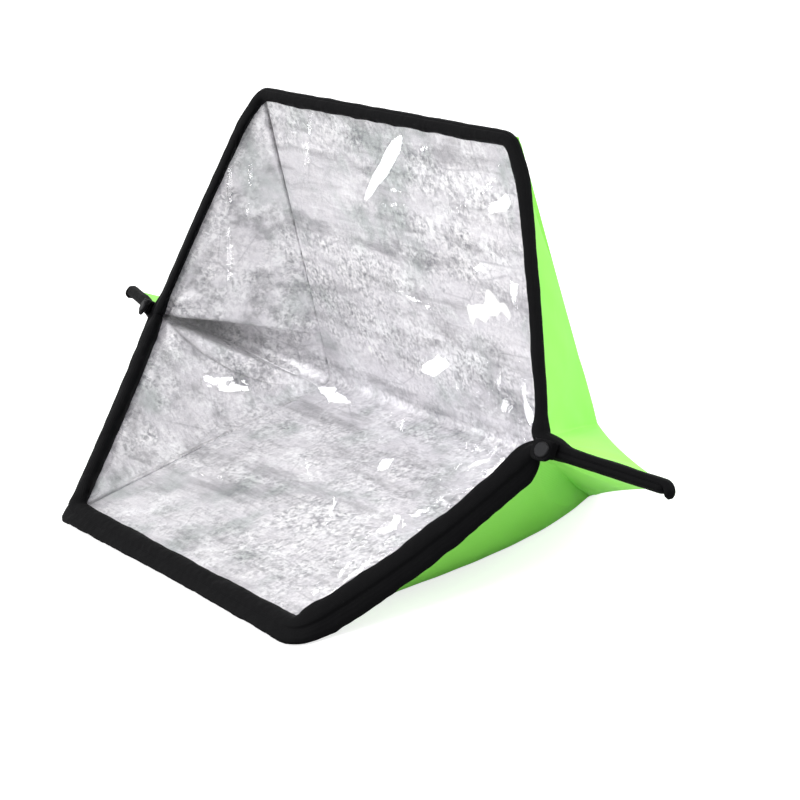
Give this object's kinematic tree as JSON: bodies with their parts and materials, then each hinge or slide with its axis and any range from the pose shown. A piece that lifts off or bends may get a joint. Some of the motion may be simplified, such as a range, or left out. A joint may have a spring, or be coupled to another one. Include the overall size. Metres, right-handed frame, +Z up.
{
  "type": "solar cooker bag",
  "caption": "Fold-open solar cooker bag: foil-lined base and reflector panels, winged soft sides, clear film window and a padded black rim.",
  "frame": {"origin": "centre of the base panel's underside, on the ground", "axes": "+X along the fold to one wing, -Y out towards the front rim and the mouth, +Z up"},
  "size_m": [1.0236, 0.3779, 0.3754],
  "materials": {
    "green_fabric": "coated nylon, semi-gloss",
    "foil": "crinkled metallised foil",
    "foam_board": "closed-cell foam",
    "black_binding": "satin",
    "black_webbing": "woven",
    "clear_film": "clear, flexible",
    "stud_metal": "satin"
  },
  "bodies": {
    "base": {"base_cover": "green_fabric", "base_board": "foam_board", "base_lining": "foil", "front_rim_roll": "black_binding", "lower_film": "clear_film", "fold_cover": "green_fabric", "fold_lining": "foil", "right_lower_side_cover": "green_fabric", "left_lower_side_cover": "green_fabric", "right_lower_side_lining": "foil", "left_lower_side_lining": "foil", "right_lower_rim_roll": "black_binding", "left_lower_rim_roll": "black_binding", "right_wing_cover": "green_fabric", "left_wing_cover": "green_fabric", "right_wing_lining": "foil", "left_wing_lining": "foil", "right_upper_arm": "black_binding", "left_upper_arm": "black_binding", "right_lower_arm": "black_binding", "left_lower_arm": "black_binding", "right_hub_patch": "black_webbing", "left_hub_patch": "black_webbing", "right_stud": "stud_metal", "left_stud": "stud_metal", "right_stud_rivet": "stud_metal", "left_stud_rivet": "stud_metal"},
    "reflector": {"back_cover": "green_fabric", "back_board": "foam_board", "back_lining": "foil", "top_rim_roll": "black_binding", "upper_film": "clear_film", "right_upper_side_cover": "green_fabric", "left_upper_side_cover": "green_fabric", "right_upper_side_lining": "foil", "left_upper_side_lining": "foil", "right_upper_rim_roll": "black_binding", "left_upper_rim_roll": "black_binding"},
    "right_tab": {"right_stud_tab": "black_webbing", "right_stud_socket": "stud_metal", "right_stud_cap": "stud_metal"},
    "left_tab": {"left_stud_tab": "black_webbing", "left_stud_socket": "stud_metal", "left_stud_cap": "stud_metal"}
  },
  "joints": [
    {"name": "reflector_hinge", "type": "hinge", "parent": "base", "child": "reflector", "pos_m": [0, 0.18, 0.009], "axis": [1, 0, 0], "range_deg": [0, 40], "deforming": ["fold_cover", "fold_lining", "upper_film", "right_upper_side_cover", "left_upper_side_cover", "right_upper_side_lining", "left_upper_side_lining", "right_upper_rim_roll", "left_upper_rim_roll"]},
    {"name": "right_tab_hinge", "type": "hinge", "parent": "base", "child": "right_tab", "pos_m": [0.37735, 0.04107, 0.14437], "axis": [-0.9632, -0.2486, 0.1026], "range_deg": [0, 100]},
    {"name": "left_tab_hinge", "type": "hinge", "parent": "base", "child": "left_tab", "pos_m": [-0.37735, 0.04107, 0.14437], "axis": [-0.9632, 0.2486, -0.1026], "range_deg": [0, 100]}
  ]
}
